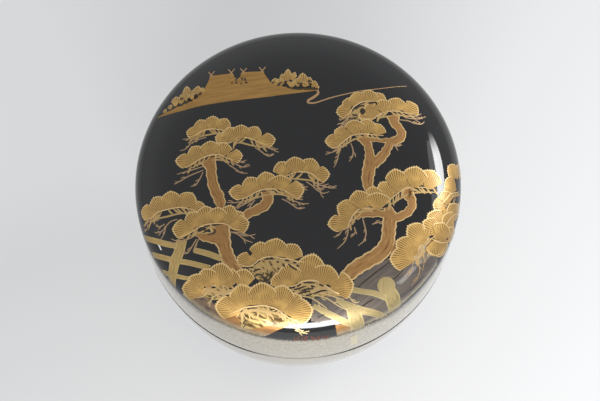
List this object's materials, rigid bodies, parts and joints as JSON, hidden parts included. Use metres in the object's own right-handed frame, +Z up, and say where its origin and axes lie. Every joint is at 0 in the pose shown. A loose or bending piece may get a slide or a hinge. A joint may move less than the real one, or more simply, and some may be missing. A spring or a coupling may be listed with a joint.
{
  "type": "lacquer tea caddy",
  "caption": "Round black-lacquered wooden tea caddy with a crowned lift-off lid over a standing lip, decorated with a gold landscape.",
  "frame": {"origin": "middle of the foot, on the table", "axes": "+Z up through the middle of the lid, +X to the right and -Y to the front of the picture on the lid"},
  "size_m": [0.074, 0.074, 0.072],
  "materials": {
    "body_lacquer": "turned wood under polished black lacquer, plain and glossy inside and out, with sparse gold powder on the flank",
    "lid_lacquer": "turned wood under polished black lacquer, glossy, with a gold picture of pines and a sprinkled gold ground low on the wall",
    "gold_picture": "gold powder bound in lacquer, slightly raised, satin, from pale yellow gold to reddish gold"
  },
  "bodies": {
    "root": {"body": "body_lacquer", "lid": "lid_lacquer"}
  },
  "joints": []
}
